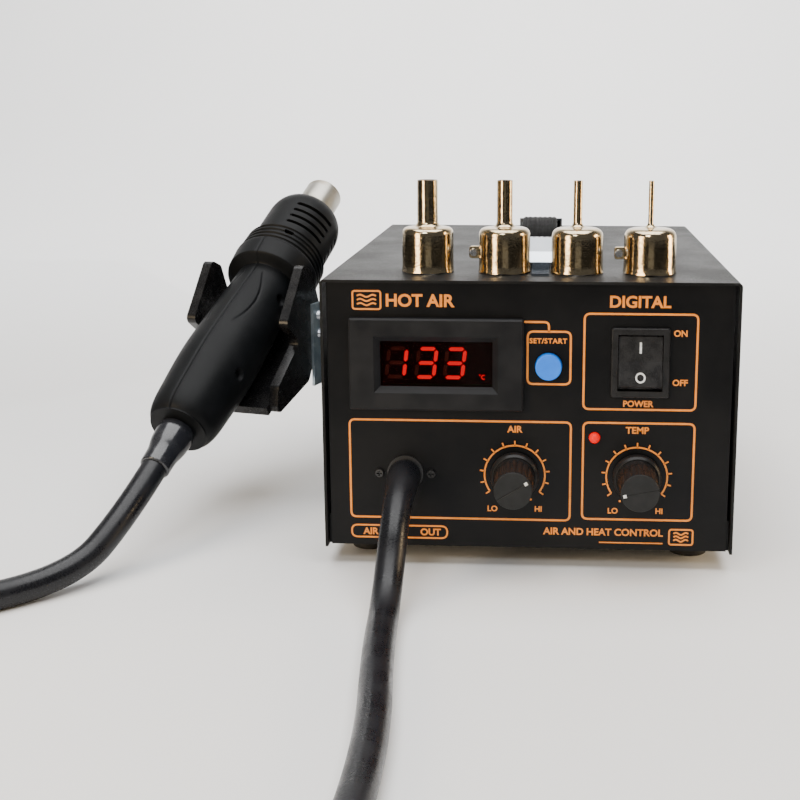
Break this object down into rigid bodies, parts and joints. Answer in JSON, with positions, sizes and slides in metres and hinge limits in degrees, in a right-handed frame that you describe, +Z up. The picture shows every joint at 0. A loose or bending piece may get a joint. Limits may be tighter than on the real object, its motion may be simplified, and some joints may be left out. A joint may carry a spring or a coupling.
{
  "type": "hot air rework station",
  "caption": "Bench hot-air rework station: black steel case with display, dials and rocker, hose-fed gun in a side holder, and loose bell nozzles on its lid.",
  "frame": {"origin": "centre of the case's footprint, on the table that its feet stand on", "axes": "+Z up, -Y towards the user (the front panel faces -Y), +X to the user's right"},
  "size_m": [0.4073, 0.6019, 0.1763],
  "materials": {
    "textured_black": "textured black powder coat",
    "panel_black": "satin black paint",
    "zinc": "bright zinc plate",
    "nickel": "warm nickel plate",
    "chrome": "bright chrome",
    "pipe_steel": "heat-tinted stainless steel",
    "black_screw": "black oxide",
    "black_plastic": "fine matt grain",
    "gloss_black": "gloss",
    "knob_plastic": "satin",
    "knob_cap_plastic": "semi-gloss with a white pointer dot",
    "blue_plastic": "satin blue",
    "red_window": "dark red filter window",
    "digit_face": "dark face with light segments",
    "led_red": "red diffused lens",
    "hose_rubber": "soft black silicone rubber",
    "foot_rubber": "matt",
    "strap_rubber": "ribbed",
    "ceramic": "unglazed",
    "board_green": "solder-resist green",
    "pump_grey": "cast housing",
    "heat_sink_aluminium": "anodised",
    "clear_tube": "translucent silicone",
    "brass": "plain",
    "transformer_core": "laminated core with wound bobbin"
  },
  "bodies": {
    "root": {"case_cover": "textured_black", "chassis_base": "panel_black", "front_panel": "panel_black", "back_panel": "panel_black", "rubber_feet": "foot_rubber", "foot_screws": "zinc", "case_screws": "black_screw", "display_bezel": "black_plastic", "display_window": "red_window", "digit_module": "digit_face", "display_board": "board_green", "set_switch": "black_plastic", "power_switch_frame": "gloss_black", "switch_terminals": "brass", "potentiometers": "zinc", "potentiometer_nuts": "zinc", "heater_led": "led_red", "hose_gland": "black_plastic", "gland_screws": "black_screw", "hose": "hose_rubber", "gun_holder": "black_plastic", "holder_bracket": "zinc", "bracket_case_screws": "zinc", "holder_screws": "zinc", "carry_strap": "strap_rubber", "strap_cap_front": "chrome", "strap_cap_back": "chrome", "strap_screws": "zinc", "mains_inlet": "black_plastic", "inlet_pins": "brass", "air_pump": "pump_grey", "pump_mounts": "foot_rubber", "air_tube": "clear_tube", "control_board": "board_green", "board_standoffs": "brass", "power_transformer": "transformer_core", "heat_sink": "heat_sink_aluminium"},
    "set_button_body": {"set_button": "blue_plastic"},
    "rocker_body": {"power_rocker": "gloss_black"},
    "air_dial": {"air_knob": "knob_plastic", "air_knob_cap": "knob_cap_plastic", "air_shaft": "zinc"},
    "temp_dial": {"temp_knob": "knob_plastic", "temp_knob_cap": "knob_cap_plastic", "temp_shaft": "zinc"},
    "gun": {"gun_handle_left": "black_plastic", "gun_handle_right": "black_plastic", "gun_handle_screws": "black_screw", "gun_vent_cap": "black_plastic", "gun_pipe": "pipe_steel", "heater_core": "ceramic", "gun_hose_bushing": "hose_rubber"},
    "nozzle_large_body": {"nozzle_large": "nickel", "nozzle_large_screw": "zinc"},
    "nozzle_medium_body": {"nozzle_medium": "nickel", "nozzle_medium_screw": "zinc"},
    "nozzle_small_body": {"nozzle_small": "nickel", "nozzle_small_screw": "zinc"},
    "nozzle_fine_body": {"nozzle_fine": "nickel", "nozzle_fine_screw": "zinc"}
  },
  "joints": [
    {"name": "set_button_press", "type": "slide", "parent": "root", "child": "set_button_body", "axis": [0, 1, 0], "range_m": [0, 0.0015], "stiffness_N_per_m": 800, "springref_m": -0.001},
    {"name": "power_rocker_tilt", "type": "hinge", "parent": "root", "child": "rocker_body", "pos_m": [0.0498, -0.1175, 0.0976], "axis": [1, 0, 0], "range_deg": [0, 20]},
    {"name": "air_dial_turn", "type": "hinge", "parent": "root", "child": "air_dial", "pos_m": [-0.0059, -0.1205, 0.0446], "axis": [0, -1, 0], "range_deg": [-91, 209]},
    {"name": "temp_dial_turn", "type": "hinge", "parent": "root", "child": "temp_dial", "pos_m": [0.0495, -0.1205, 0.0446], "axis": [0, -1, 0], "range_deg": [-252, 48]},
    {"name": "gun_draw_out", "type": "slide", "parent": "root", "child": "gun", "axis": [0.2191, 0.8324, 0.509], "range_m": [0, 0.1]},
    {"name": "nozzle_large_lift", "type": "slide", "parent": "root", "child": "nozzle_large_body", "axis": [0, 0, 1], "range_m": [0, 0.05]},
    {"name": "nozzle_medium_lift", "type": "slide", "parent": "root", "child": "nozzle_medium_body", "axis": [0, 0, 1], "range_m": [0, 0.05]},
    {"name": "nozzle_small_lift", "type": "slide", "parent": "root", "child": "nozzle_small_body", "axis": [0, 0, 1], "range_m": [0, 0.05]},
    {"name": "nozzle_fine_lift", "type": "slide", "parent": "root", "child": "nozzle_fine_body", "axis": [0, 0, 1], "range_m": [0, 0.05]}
  ]
}
